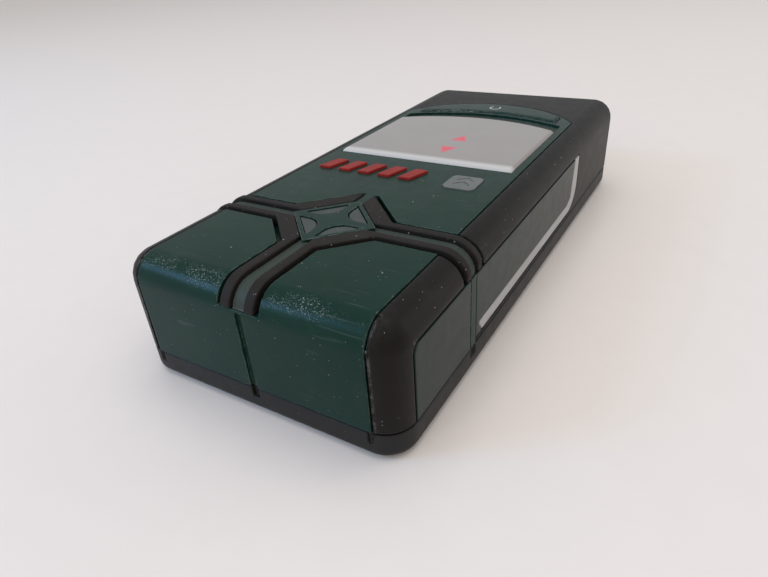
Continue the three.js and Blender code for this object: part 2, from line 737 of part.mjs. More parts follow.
function makeGasket() {
  const high = ROOF_Z - CHIP_GAP;
  return lcdBlock(0, high - GASKET.thick, high).subtract(lcdBlock(-GASKET.width, 0, HEIGHT));
}

// ---- key and its switch ----

function makeKey() {
  const high = ROOF_Z - CHIP_GAP;
  const low = high - KEY_FLANGE;
  const cap = prismZ(keyShape(0), low, KEY_TOP_Z - KEY_CROWN_STEP, ARC_STEPS);
  const crown = prismZ(keyShape(KEY_CROWN_STEP), low, KEY_TOP_Z, ARC_STEPS);
  const flange = prismZ(keyShape(-KEY_FLANGE_REACH), low, high, ARC_STEPS);
  const stem = cylinder(0, KEY_Y, SWITCH.half, 0, HEIGHT);
  const hollow = prismZ(keyShape(KEY_SHELL), low - 1, ROOF_Z + KEY_SHELL, ARC_STEPS).subtract(stem);
  return union(cap, crown, flange).subtract(hollow);
}

function makeSwitch() {
  const { half, topZ, bore, floor } = SWITCH;
  const low = KEY_BOARD.z + KEY_BOARD.thick + CHIP_GAP;
  const body = block(-half, half, KEY_Y - half, KEY_Y + half, low, topZ);
  return body.subtract(cylinder(0, KEY_Y, bore, low + floor, topZ + 1));
}

// ---- electronics ----

function makeMainBoard() {
  const { halfX, y0, y1, corner } = BOARD;
  const board = prismZ(roundedRectangle(-halfX, halfX, y0, y1, corner), BOARD_Z, BOARD_TOP);
  return board.subtract(screwBosses(0, HEIGHT, BOSS_RADIUS + BOSS_ROOM));
}

function ring(innerRadius, outerRadius, low, high, segments = 36) {
  const profile = [
    new THREE.Vector2(innerRadius, low),
    new THREE.Vector2(outerRadius, low),
    new THREE.Vector2(outerRadius, high),
    new THREE.Vector2(innerRadius, high),
    new THREE.Vector2(innerRadius, low),
  ];
  const geometry = new THREE.LatheGeometry(profile, segments);
  return solid(geometry.rotateX(Math.PI / 2).translate(0, SENSOR_Y, 0));
}

function makeBobbin() {
  const { hole, hub, wall, wallEnd, flange, height, plate } = BOBBIN;
  const top = COIL_Z + height;
  const spool = union(
    ring(hole, flange, COIL_Z, COIL_Z + plate),
    ring(hole, flange, top - plate, top),
    ring(hole, hub, COIL_Z, top),
    ring(wall, wallEnd, COIL_Z, top),
  );
  // The wire slot, which lets both windings' ends out through the upper flange.
  return spool.subtract(block(hub + 1, flange + 1, SENSOR_Y - 1, SENSOR_Y + 1, top - plate - 0.1, top + 1));
}

function makeWinding(inner, outerRadius) {
  const { clear, low, high } = WINDING;
  return ring(inner + clear, outerRadius - clear, COIL_Z + low, COIL_Z + high);
}

function makeBattery() {
  const { length, width, height, x, y, z } = BATTERY;
  const body = prismZ(
    roundedRectangle(x - length / 2, x + length / 2, y - width / 2, y + width / 2, 2),
    z,
    z + height,
    4,
  );
  const middle = x + length / 2 + TERMINAL.length / 2 - TERMINAL.sink;
  const terminals = [TERMINAL.large, TERMINAL.small].map((radius, i) => {
    const geometry = new THREE.CylinderGeometry(radius, radius, TERMINAL.length, 16);
    const offset = i ? TERMINAL.offset : -TERMINAL.offset;
    return solid(geometry.rotateZ(Math.PI / 2).translate(middle, y + offset, z + height / 2));
  });
  return union(body, ...terminals);
}

function makeSnap() {
  const { length, width, height, x, y, z } = BATTERY;
  const face = x + length / 2 + TERMINAL.length - TERMINAL.sink + SNAP.gap;
  const middle = z + height / 2;
  const halfY = width / 2 - SNAP.margin;
  const [low, high] = [middle - SNAP.halfHeight, middle + SNAP.halfHeight];
  return block(face, face + SNAP.thick, y - halfY, y + halfY, low, high);
}

// An insulated lead along the right wall, from the snap forward to the board.
function makeLead(offset) {
  const points = [
    [24.1, fromNose(115.4), 10.4 - offset * 2],
    [24.1, fromNose(111), 10.4 - offset * 2],
    [22.6 - offset * 0.4, fromNose(108), 10.6 - offset * 1.8],
    [19.6 + offset * 0.4, fromNose(103), 11.6 - offset * 1.2],
    [17 + offset * 1.4, fromNose(97.2), 13.6],
  ];
  const path = new THREE.CatmullRomCurve3(points.map((p) => new THREE.Vector3(...p)));
  const shape = new THREE.Shape();
  shape.absarc(0, 0, LEAD_RADIUS, 0, 2 * Math.PI);
  const options = { steps: 24, bevelEnabled: false, extrudePath: path, curveSegments: 4 };
  return solid(new THREE.ExtrudeGeometry(shape, options));
}

function makeScrew([x, y]) {
  const high = SCREW.seatZ - CHIP_GAP;
  const low = high - SCREW.headHeight;
  const drive = [Math.PI / 4, -Math.PI / 4].map((turn) => {
    const slot = new THREE.BoxGeometry(DRIVE.length, DRIVE.width, DRIVE.depth);
    return solid(slot.rotateZ(turn).translate(x, y, low));
  });
  return cylinder(x, y, SCREW.head, low, high, 20)
    .add(cylinder(x, y, SCREW.shank, low + OVERLAP, SCREW.tipZ, 12))
    .subtract(union(...drive));
}

function makeBuzzer() {
  const { x, y, radius, height, hole } = BUZZER;
  const can = cylinder(x, y, radius, CHIP_Z, CHIP_Z + height, 32);
  return can.subtract(cylinder(x, y, hole, CHIP_Z + height / 2, CHIP_Z + height + 1, 12));
}

// Drops the empty slivers, or the strip beyond a cut, that a boolean leaves beside the piece itself.
function largest(shape) {
  const bodies = shape.decompose();
  return bodies.reduce((best, body) => (body.volume() > best.volume() ? body : best)).simplify(TINY);
}

// ---- materials ----

function material(color, roughness, metalness = 0) {
  return new THREE.MeshStandardMaterial({ color, roughness, metalness });
}

const MATERIALS = {
  green: material(0x1f3d33, 0.45),
  black: material(0x24262a, 0.6),
  rubber: material(0x2c2927, 0.85),
  panel: material(0x4a4f4c, 0.5),
  trim: material(0xb4b6b3, 0.35),
  petal: material(0x77787a, 0.5),
  red: material(0xb3252b, 0.4),
  badge: material(0x8b9290, 0.4, 0.3),
  lens: material(0xd8dbd8, 0.1),
  silver: material(0xc3c4c1, 0.5),
  foam: material(0x1c1c1c, 0.95),
  board: material(0x14532d, 0.55),
  chip: material(0x18181a, 0.5),
  copper: material(0xb5632c, 0.35, 0.9),
  tin: material(0xb9bcc0, 0.3, 0.9),
  bobbin: material(0xd9d2bd, 0.6),
  felt: material(0x303134, 1),
  cell: material(0x2b2f45, 0.4, 0.3),
  leadRed: material(0xa11f1f, 0.5),
  leadBlack: material(0x151515, 0.5),
};

const detector = new THREE.Group();

function add(name, shape, kind) {
  const { numProp, vertProperties, triVerts } = shape.translate([0, 0, -TABLE_Z]).getMesh();
  const positions = new Float32Array((vertProperties.length / numProp) * 3);
  for (let i = 0; i < positions.length / 3; i += 1) {
    positions.set(vertProperties.subarray(i * numProp, i * numProp + 3), i * 3);
  }
  const geometry = new THREE.BufferGeometry();
  geometry.setAttribute("position", new THREE.BufferAttribute(positions, 3));
  geometry.setIndex(new THREE.BufferAttribute(triVerts, 1));
  const mesh = new THREE.Mesh(geometry, MATERIALS[kind]);
  mesh.name = name;
  detector.add(mesh);
}

const SIDES = [
  ["left", -1],
  ["right", 1],
];

// Housing and skin.
add("base_tray", makeBaseTray(), "black");
add("top_shell", largest(makeTopShell()), "green");
add("rubber_surround", skin.intersect(surroundZone(EDGE_GAP)), "rubber");
for (const [word, side] of SIDES) {
  add(`rubber_corner_${word}`, makeCorner(side), "rubber");
  add(`side_panel_front_${word}`, skin.intersect(frontPanelZone(side, EDGE_GAP)), "panel");
  const rear = skin.intersect(rearPanelZone(side, EDGE_GAP));
  add(`side_panel_rear_${word}`, largest(rear.subtract(trimZone(side, EDGE_GAP))), "panel");
  add(`side_trim_${word}`, rear.intersect(trimZone(side, 0)), "trim");
}
const inlays = makeInlays();
["front_left", "front_right", "rear_left", "rear_right"].forEach((word, i) => {
  add(`groove_inlay_${word}`, inlays[i], "rubber");
});
add("signal_light_guide", makeLightGuide(), "petal");
ACCENTS.forEach((x, i) => {
  const bar = accentBar(x, 0, HEIGHT - ACCENT.sink, HEIGHT + ACCENT.rise);
  add(`accent_bar_${i + 1}`, bar, "red");
});
add("badge_plate", makeBadge(), "badge");

// Display, from the outside in.
const lcdTop = ROOF_Z - 0.8;
const lightTop = lcdTop - LCD.thick - CHIP_GAP;
add("display_lens", makeLens(), "lens");
add("display_mask", makeMask(), "silver");
add("display_gasket", makeGasket(), "foam");
add("lcd_glass", lcdBlock(0, lcdTop - LCD.thick, lcdTop), "silver");
add("lcd_backlight", lcdBlock(-0.5, lightTop - LCD.light, lightTop), "lens");
add("lcd_connector", block(-17, 17, LCD.y0 - 3.2, LCD.y0 - 0.8, CHIP_Z, ROOF_Z - 1.2), "foam");

// Power key and its switch.
add("power_key", largest(makeKey()), "green");
const keyBoardTop = KEY_BOARD.z + KEY_BOARD.thick;
const keyBoardY = [KEY_Y - KEY_BOARD.halfY, KEY_Y + KEY_BOARD.halfY];
add("key_board", block(-KEY_BOARD.halfX, KEY_BOARD.halfX, ...keyBoardY, KEY_BOARD.z, keyBoardTop), "board");
add("key_switch", makeSwitch(), "chip");
const plungerLow = SWITCH.topZ - SWITCH.foot;
add("key_switch_plunger", cylinder(0, KEY_Y, SWITCH.plunger, plungerLow, SWITCH.plungerTopZ), "trim");

// Battery, its cover and its leads.
add("battery_door", makeBatteryDoor(), "black");
add("battery_9v", makeBattery(), "cell");
add("battery_snap", makeSnap(), "leadBlack");
add("battery_lead_red", makeLead(1), "leadRed");
add("battery_lead_black", makeLead(-1), "leadBlack");
add("battery_connector", block(14, 20, fromNose(92), fromNose(96.8), 11.6, BOARD_Z - CHIP_GAP), "silver");

// Boards and what is soldered on them.
const sensorBoardZ = COIL_Z + BOBBIN.height + PARTING_GAP;
const sensorBoardTop = sensorBoardZ + SENSOR_BOARD_THICK;
const sensorArea = [-SENSOR_HALF_X, SENSOR_HALF_X, SENSOR_Y - SENSOR_HALF_Y, SENSOR_Y + SENSOR_HALF_Y];
const headerY = SENSOR_Y + 12;
const headerZ = [sensorBoardTop + CHIP_GAP, BOARD_Z - CHIP_GAP];
add("main_board", makeMainBoard(), "board");
add("sensor_board", block(...sensorArea, sensorBoardZ, sensorBoardTop), "board");
add("board_header", block(-8, 8, headerY, headerY + 2.5, ...headerZ), "chip");
add("microcontroller", block(-17, -7, fromNose(54), fromNose(64), CHIP_Z, CHIP_Z + 1.4), "chip");
add("buzzer", makeBuzzer(), "chip");
const crystal = roundedRectangle(-4, 6, fromNose(50), fromNose(54), 1.9);
add("quartz_crystal", prismZ(crystal, CHIP_Z, CHIP_Z + 3.3), "tin");
[-20, 20].forEach((x, i) => {
  add(`capacitor_${i + 1}`, cylinder(x, fromNose(48), 2.5, CHIP_Z, CHIP_Z + 5.1, 20), "tin");
});
add("signal_led", block(-1.6, 1.6, SENSOR_Y - 1.4, SENSOR_Y + 1.4, CHIP_Z, CHIP_Z + 1.7), "lens");

// Sensor.
add("coil_bobbin", makeBobbin(), "bobbin");
add("inner_coil", makeWinding(BOBBIN.hub, BOBBIN.wall), "copper");
add("outer_coil", makeWinding(BOBBIN.wallEnd, BOBBIN.flange - WINDING.clear), "copper");
add("capacitive_plate", block(...sensorArea, FLOOR_Z + 0.3, FLOOR_Z + 0.7), "copper");

// Fixings and feet.
SCREWS.forEach((place, i) => add(`housing_screw_${i + 1}`, makeScrew(place), "tin"));
PADS.forEach(([x, y], i) => {
  add(`glide_pad_${i + 1}`, cylinder(x, y, PAD_RADIUS, TABLE_Z, TABLE_Z + PAD_THICK, 24), "felt");
});

export default detector;
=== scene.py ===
"""Looks for a hand-held wall detector (stud finder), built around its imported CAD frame.

Metres, +Z up, +Y from the sensor nose to the display end.
"""

import json
import math

import bpy
from mathutils import Matrix, Vector


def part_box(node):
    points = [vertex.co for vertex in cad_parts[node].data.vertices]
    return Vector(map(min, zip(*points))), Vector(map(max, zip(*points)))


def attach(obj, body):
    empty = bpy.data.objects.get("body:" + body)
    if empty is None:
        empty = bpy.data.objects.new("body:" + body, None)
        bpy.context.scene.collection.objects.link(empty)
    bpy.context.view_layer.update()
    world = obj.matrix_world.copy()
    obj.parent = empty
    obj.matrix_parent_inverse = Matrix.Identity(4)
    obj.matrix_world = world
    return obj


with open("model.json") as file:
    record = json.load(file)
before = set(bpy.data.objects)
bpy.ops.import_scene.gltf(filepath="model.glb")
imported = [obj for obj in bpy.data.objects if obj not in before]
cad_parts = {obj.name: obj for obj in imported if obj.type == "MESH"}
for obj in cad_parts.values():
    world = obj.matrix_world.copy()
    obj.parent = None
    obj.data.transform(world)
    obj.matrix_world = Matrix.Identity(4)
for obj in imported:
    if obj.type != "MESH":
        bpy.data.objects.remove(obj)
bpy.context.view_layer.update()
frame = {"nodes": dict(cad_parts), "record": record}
nodes = frame["nodes"]
MM = 0.001

# Where dust settles on the green shell, in mm: on floors between these two heights, below the top face, and
# in the channel between the rubber ridges where it runs over the rounded edges.
SUNK_FLOORS = (26.9, 27.95)
SENSOR_Y = (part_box("coil_bobbin")[0][1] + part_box("coil_bobbin")[1][1]) / 2 / MM
CHANNEL_HALF = 1.5
CHANNEL_END_Z = 23.7
NOSE_ROUNDING_Y = -67.7
SIDE_ROUNDING_X = 26.3
SIDE_DUST_Z = 22.5

# Sizes of the marks on the mouldings, in mm.
TONE_PATCHES = 9  # patches of slightly different colour
GLOSS_PATCHES = 3
SCRATCH_WIDTH = 0.5
SCRATCH_PATCHES = 14
EDGE_PATCHES = 1.6
# patches of the painted glints on the grain's peaks along the nose's rounding
GLINT_PATCHES = 5
DUST_PATCHES = 5
DUST_SPACING = 0.9
FINE_DUST_SPACING = 0.45
DUST_HEIGHT = 0.02
SPECK_SMALLEST = 0.05  # radius of the smallest speck, as a share of the spacing
SPECK_SPREAD = 0.16  # how much more the largest one has

# Noise runs from 0 to 1 and is mostly near 0.5. A ramp between two of its values makes patches of it.
SOFT_PATCHES = (0.3, 0.7)
PATCHES = (0.38, 0.62)
SCARCE_PATCHES = (0.45, 0.7)
FILM_PATCHES = (0.5, 0.8)
GRAIN_PEAKS = (0.56, 0.66)
SCRATCH_LINES = (0.66, 0.72)
WEAR_AND_HIGHLIGHT_TURN = (0.02, 0.16)  # how sharply an edge turns where the pale edges (chipping, and the painted highlight on the rubber) start and are full

ACROSS_THE_PART = (0.05, 1, 0.4)  # stretches noise into lines that run along X
COAT_ROUGHNESS = 0.25
DUST_COLOUR = (0.33, 0.33, 0.31)
SETTLED_COLOUR = (0.075, 0.078, 0.070)

# Marks on the display, in mm.
LENS_NEAR_Y = -3.9
STRIP_FADE = (3.4, 0.9)  # how far past the near edge the light strip starts to show and is full
STRIP_COLOUR = (0.56, 0.53, 0.50)
ARROW_X = 3.0
ARROW_HALF = 3.4
ARROWS = [(8.0, 0.9), (12.0, 18.6)]  # where each arrowhead's base and point lie along Y
ARROW_COLOUR = (0.58, 0.055, 0.085)
ARROW_GLOW = (0.9, 0.2, 0.25)
ARROW_GLOW_STRENGTH = 0.12


# ---- material graphs ----


class Graph:
    """A material's node tree, with short calls for the nodes used here."""

    def __init__(self, material):
        material.use_nodes = True
        self.material = material
        self.tree = material.node_tree
        self.shader = self.tree.nodes["Principled BSDF"]
        self.place = self.node("ShaderNodeTexCoord").outputs["Object"]

    def node(self, kind, inputs=None, **settings):
        made = self.tree.nodes.new(kind)
        for key, value in settings.items():
            setattr(made, key, value)
        for key, value in (inputs or {}).items():
            self.feed(made.inputs[key], value)
        return made

    def feed(self, socket, value):
        """Link a socket to another one, or set its value."""
        if isinstance(value, bpy.types.NodeSocket):
            self.tree.links.new(value, socket)
        elif isinstance(value, tuple) and len(value) == 3 and socket.type == "RGBA":
            socket.default_value = (*value, 1)
        else:
            socket.default_value = value

    def math(self, operation, a, b=0.0, c=0.0, clamp=False):
        made = self.node("ShaderNodeMath", {0: a, 1: b, 2: c}, operation=operation, use_clamp=clamp)
        return made.outputs[0]

    def product(self, first, *others):
        """The first value multiplied by each of the others."""
        for other in others:
            first = self.math("MULTIPLY", first, other)
        return first

    def stretch(self, scale):
        """The place, with each axis scaled."""
        return self.node("ShaderNodeMapping", {"Vector": self.place, "Scale": scale}).outputs["Vector"]

    def noise(self, size, detail, place=None, roughness=0.5):
        """Fractal noise from 0 to 1 whose blotches are about size metres across."""
        inputs = {"Vector": place or self.place, "Scale": 1 / size, "Detail": detail, "Roughness": roughness}
        return self.node("ShaderNodeTexNoise", inputs).outputs["Fac"]

    def ramp(self, value, low, high, out_low=0.0, out_high=1.0):
        """A smooth step from out_low to out_high while value goes from low to high."""
        inputs = {
            "Value": value,
            "From Min": low,
            "From Max": high,
            "To Min": out_low,
            "To Max": out_high,
        }
        return self.node("ShaderNodeMapRange", inputs, interpolation_type="SMOOTHSTEP").outputs["Result"]

    def blend(self, amount, a, b):
        """Colour a where amount is 0, and b where it is 1."""
        made = self.node("ShaderNodeMix", data_type="RGBA")
        self.feed(made.inputs["Factor"], amount)
        self.feed(made.inputs["A"], a)
        self.feed(made.inputs["B"], b)
        return made.outputs["Result"]

    def bump(self, height, depth, below=None):
        """Bump whose height runs from 0 to 1 over depth metres, on top of an earlier bump."""
        inputs = {"Height": height, "Distance": depth, "Strength": 1.0}
        if below is not None:
            inputs["Normal"] = below
        return self.node("ShaderNodeBump", inputs).outputs["Normal"]

    def axes(self):
        """The place along X, Y and Z, in millimetres."""
        split = self.node("ShaderNodeSeparateXYZ", {"Vector": self.place})
        return [self.math("DIVIDE", split.outputs[i], MM) for i in range(3)]

    def facing(self):
        """The surface's direction along X, Y and Z."""
        normal = self.node("ShaderNodeNewGeometry").outputs["Normal"]
        return self.node("ShaderNodeSeparateXYZ", {"Vector": normal}).outputs

    def specks(self, size, share):
        """Small separate dots: size is the spacing of the cells and share how many of them hold one."""
        inputs = {"Vector": self.place, "Scale": 1 / size, "Randomness": 1.0}
        cells = self.node("ShaderNodeTexVoronoi", inputs)
        split = self.node("ShaderNodeSeparateColor", {"Color": cells.outputs["Color"]})
        held = self.math("LESS_THAN", split.outputs[0], share)
        radius = self.math("MULTIPLY_ADD", split.outputs[1], SPECK_SPREAD, SPECK_SMALLEST)
        near = self.math("LESS_THAN", cells.outputs["Distance"], radius)
        return self.product(held, near)

    def edges(self, radius):
        """How sharply the surface turns within radius: 0 on a flat face, towards 1 on an edge."""
        rounded = self.node("ShaderNodeBevel", {"Radius": radius}, samples=6).outputs["Normal"]
        real = self.node("ShaderNodeNewGeometry").outputs["Normal"]
        along = self.node("ShaderNodeVectorMath", {0: rounded, 1: real}, operation="DOT_PRODUCT")
        return self.math("SUBTRACT", 1.0, along.outputs["Value"], clamp=True)

    def rounding(self):
        """1 on the upper part of the rounded edge over the sensor nose."""
        facing = self.facing()
        return self.product(self.ramp(facing["Y"], -0.1, -0.4), self.ramp(facing["Z"], 0.5, 0.8))

    def sunk(self, heights):
        """1 on level faces whose height lies between the two heights, in mm."""
        z = self.axes()[2]
        low, high = heights
        between = self.product(self.math("GREATER_THAN", z, low), self.math("LESS_THAN", z, high))
        return self.product(between, self.ramp(self.facing()["Z"], 0.975, 0.995))

    def channels(self):
        """1 in the channels where they run over the rounded edges of the nose and of both sides."""
        x, y, z = self.axes()
        out = self.math("ABSOLUTE", x)
        front = self.product(
            self.math("LESS_THAN", y, NOSE_ROUNDING_Y),
            self.math("GREATER_THAN", z, CHANNEL_END_Z),
            self.math("LESS_THAN", out, CHANNEL_HALF),
        )
        from_middle = self.math("ABSOLUTE", self.math("SUBTRACT", y, SENSOR_Y))
        side = self.product(
            self.math("GREATER_THAN", out, SIDE_ROUNDING_X),
            self.math("GREATER_THAN", z, SIDE_DUST_Z),
            self.math("LESS_THAN", from_middle, CHANNEL_HALF),
        )
        return self.math("MAXIMUM", front, side)

    def triangle(self, x, y, half, base, tip):
        """1 inside the triangle with its base, 2 * half wide, at y = base and its point at y = tip.

        x is measured from the triangle's middle line, and its outline is soft.
        """
        along = self.math("DIVIDE", self.math("SUBTRACT", y, base), tip - base)
        across = self.math("DIVIDE", self.math("ABSOLUTE", x), half)
        room = self.math("SUBTRACT", self.math("SUBTRACT", 1.0, along), across)
        return self.product(self.ramp(room, 0.0, 0.4), self.ramp(along, 0.0, 0.25))


def shade(colour, factor):
    return tuple(channel * factor for channel in colour)


class Moulding(Graph):
    """Moulded plastic or rubber: a bare colour, roughness and grain, with marks of use laid over them."""

    def __init__(self, name, colour, roughness, grain, grain_depth, mottle):
        super().__init__(bpy.data.materials.new(name))
        tone = self.ramp(self.noise(TONE_PATCHES * MM, 4), *SOFT_PATCHES)
        gloss = self.noise(GLOSS_PATCHES * MM, 5)
        self.grain = self.noise(grain * MM, 2, roughness=0.6)
        self.base = self.blend(tone, shade(colour, 1 - mottle), shade(colour, 1 + mottle))
        self.rough = self.ramp(gloss, *SOFT_PATCHES, roughness - 0.02, roughness + 0.03)
        self.normal = self.bump(self.grain, grain_depth * MM)

    def cover(self, amount, colour, rougher=0.0):
        """Blend a colour over the base, and make it rougher by rougher where amount is 1."""
        self.base = self.blend(amount, self.base, colour)
        if rougher:
            added = self.math("MULTIPLY", amount, rougher)
            self.rough = self.math("ADD", self.rough, added, clamp=True)

    def scratch(self, strength, colour):
        """Thin scratches across the part, in patches."""
        streaks = self.noise(SCRATCH_WIDTH * MM, 1, place=self.stretch(ACROSS_THE_PART), roughness=0.3)
        lines = self.ramp(streaks, *SCRATCH_LINES)
        patches = self.ramp(self.noise(SCRATCH_PATCHES * MM, 2), *SCARCE_PATCHES)
        self.cover(self.product(lines, patches, strength), colour, rougher=0.2)

    def wear_and_highlight(self, strength, width, colour):
        """Pale edges, width mm wide: chipped and polished, and on the rubber partly a painted highlight
        along its rounded edges.
        """
        turn = self.ramp(self.edges(width * MM), *WEAR_AND_HIGHLIGHT_TURN)
        edge_patches = self.ramp(self.noise(EDGE_PATCHES * MM, 5, roughness=0.7), *PATCHES)
        self.cover(self.product(turn, edge_patches, strength), colour, rougher=0.15)

    def dust(self, share):
        """Specks in share of the cells, with a thin film in patches."""
        coarse = self.specks(DUST_SPACING * MM, share)
        fine = self.specks(FINE_DUST_SPACING * MM, share * 0.7)
        dots = self.math("MAXIMUM", coarse, fine)
        patches = self.noise(DUST_PATCHES * MM, 6, roughness=0.7)
        film = self.ramp(patches, *FILM_PATCHES, 0, 0.01 + 0.2 * share)
        self.cover(self.math("MAXIMUM", self.product(dots, 0.75), film), DUST_COLOUR, rougher=0.35)
        self.normal = self.bump(dots, DUST_HEIGHT * MM, self.normal)

    def paint_glints(self, strength, colour):
        """Painted glints: the peaks of the grain made pale on the nose's rounded edge, where the highlight
        falls.
        """
        peaks = self.ramp(self.grain, *GRAIN_PEAKS)
        patches = self.ramp(self.noise(GLINT_PATCHES * MM, 3), *PATCHES)
        self.cover(self.product(peaks, patches, self.rounding(), strength), colour)

    def settle(self, strength):
        """Dust lying on the sunk floors and in the channels."""
        lying = self.math("MAXIMUM", self.sunk(SUNK_FLOORS), self.channels())
        self.cover(self.product(lying, strength), SETTLED_COLOUR)
        self.rough = self.math("ADD", self.rough, self.product(lying, 0.2))

    def finish(self, specular, coat, sheen, metallic):
        self.feed(self.shader.inputs["Base Color"], self.base)
        self.feed(self.shader.inputs["Roughness"], self.rough)
        self.feed(self.shader.inputs["Normal"], self.normal)
        self.feed(self.shader.inputs["Specular IOR Level"], specular)
        self.feed(self.shader.inputs["Coat Weight"], coat)
        self.feed(self.shader.inputs["Coat Roughness"], COAT_ROUGHNESS)
        self.feed(self.shader.inputs["Sheen Weight"], sheen)
        self.feed(self.shader.inputs["Metallic"], metallic)
        return self.material


def moulded(
    name,
    colour,
    roughness,
    grain=0.35,
    grain_depth=0.006,
    mottle=0.06,
    wear_and_highlight_colour=None,
    wear_and_highlight=0.0,
    edge=0.35,
    scratches=0.0,
    dust=0.0,
    painted_glints=0.0,
    settled=0.0,
    specular=0.5,
    coat=0.0,
    sheen=0.0,
    metallic=0.0,
):
    """A material for moulded plastic or rubber, and for the plain metal parts.

    grain and grain_depth are in mm, and mottle is how far the colour wanders. wear_and_highlight_colour is
    the colour of the chipped edges, the scratches and the painted highlights, and edge is how wide the pale
    edges are, in mm. dust is the share of the cells with a speck. wear_and_highlight (chipped edges, and on
    the rubber partly a painted highlight along its rounded edges), scratches, painted_glints (painted glints
    on the grain's peaks on the nose's rounding) and settled (dust on the sunk floors) go from 0 to 1.
    """
    made = Moulding(name, colour, roughness, grain, grain_depth, mottle)
    if scratches:
        made.scratch(scratches, shade(wear_and_highlight_colour, 0.9))
    # pale edges: chipping, and on the rubber partly a painted highlight along its rounded edges
    if wear_and_highlight:
        made.wear_and_highlight(wear_and_highlight, edge, wear_and_highlight_colour)
    if dust:
        made.dust(dust)
    # painted glints on the grain's peaks along the nose's rounded edge
    if painted_glints:
        made.paint_glints(painted_glints, wear_and_highlight_colour)
    if settled:
        made.settle(settled)
    return made.finish(specular, coat, sheen, metallic)


LOOKS = {
    "shell_green": {
        "colour": (0.0052, 0.0265, 0.0180),
        "roughness": 0.30,
        "grain": 0.28,
        "grain_depth": 0.018,
        "dust": 0.05,
        "wear_and_highlight_colour": (0.26, 0.29, 0.27),
        "wear_and_highlight": 1.0,
        "scratches": 0.08,
        # painted glints on the grain's peaks along the nose's rounded edge
        "painted_glints": 0.7,
        "settled": 0.55,
        "specular": 0.12,
    },
    "base_black": {
        "colour": (0.0085, 0.0080, 0.0074),
        "roughness": 0.5,
        "grain": 0.4,
        "dust": 0.05,
        "wear_and_highlight_colour": (0.12, 0.12, 0.12),
        "wear_and_highlight": 0.5,
        "specular": 0.3,
    },
    "overmould_rubber": {
        "colour": (0.0068, 0.0052, 0.0040),
        "roughness": 0.46,
        "grain": 0.3,
        "grain_depth": 0.012,
        "dust": 0.05,
        # its pale edges are partly real chipping and partly a painted highlight along the rounded edges
        "wear_and_highlight_colour": (0.16, 0.155, 0.148),
        "wear_and_highlight": 0.9,
        "edge": 0.8,
        "sheen": 0.035,
        "specular": 0.14,
    },
    "groove_rubber": {
        "colour": (0.0135, 0.0105, 0.0085),
        "roughness": 0.62,
        "grain_depth": 0.010,
        "dust": 0.10,
        "specular": 0.2,
    },
    "side_panel": {
        "colour": (0.0080, 0.0185, 0.0160),
        "roughness": 0.32,
        "grain": 0.25,
        "dust": 0.02,
        "wear_and_highlight_colour": (0.2, 0.2, 0.2),
        "wear_and_highlight": 0.5,
        "specular": 0.2,
    },
    "silver_trim": {
        "colour": (0.38, 0.375, 0.365),
        "roughness": 0.38,
        "grain": 0.2,
        "dust": 0.03,
        "wear_and_highlight_colour": (0.5, 0.5, 0.5),
        "wear_and_highlight": 0.4,
    },
    "light_guide": {
        "colour": (0.055, 0.062, 0.058),
        "roughness": 0.4,
        "dust": 0.10,
        "wear_and_highlight_colour": (0.2, 0.2, 0.2),
        "wear_and_highlight": 0.4,
        "specular": 0.15,
    },
    "accent_red": {
        "colour": (0.26, 0.022, 0.018),
        "roughness": 0.42,
        "dust": 0.05,
        "wear_and_highlight_colour": (0.4, 0.16, 0.14),
        "wear_and_highlight": 0.5,
        "specular": 0.12,
    },
    "badge_grey": {
        "colour": (0.13, 0.135, 0.125),
        "roughness": 0.4,
        "dust": 0.08,
        "wear_and_highlight_colour": (0.35, 0.35, 0.35),
        "wear_and_highlight": 0.5,
        "specular": 0.2,
    },
    "lens_clear": {
        "colour": (0.31, 0.280, 0.262),
        "roughness": 0.16,
        "grain_depth": 0.0004,
        "mottle": 0.02,
        "dust": 0.01,
        "specular": 0.2,
    },
    "display_silver": {"colour": (0.45, 0.45, 0.44), "roughness": 0.4, "mottle": 0.04},
    "foam_black": {"colour": (0.012, 0.012, 0.012), "roughness": 0.9, "grain": 0.6, "grain_depth": 0.08},
    "circuit_board": {
        "colour": (0.012, 0.075, 0.03),
        "roughness": 0.4,
        "grain": 0.5,
        "mottle": 0.2,
        "coat": 0.4,
    },
    "chip_black": {"colour": (0.012, 0.012, 0.013), "roughness": 0.45, "grain": 0.2},
    "copper": {"colour": (0.60, 0.24, 0.10), "roughness": 0.3, "metallic": 1.0},
    "tinned_steel": {"colour": (0.55, 0.55, 0.56), "roughness": 0.32, "metallic": 1.0},
    "bobbin_plastic": {"colour": (0.55, 0.5, 0.4), "roughness": 0.5},
    "glide_felt": {
        "colour": (0.03, 0.03, 0.032),
        "roughness": 0.95,
        "grain": 0.25,
        "grain_depth": 0.08,
        "sheen": 0.5,
    },
    "battery_jacket": {"colour": (0.03, 0.035, 0.06), "roughness": 0.3, "coat": 0.5},
    "lead_red": {"colour": (0.35, 0.02, 0.015), "roughness": 0.4},
    "lead_black": {"colour": (0.012, 0.012, 0.012), "roughness": 0.4},
}
MATERIALS = {name: moulded(name, **look) for name, look in LOOKS.items()}


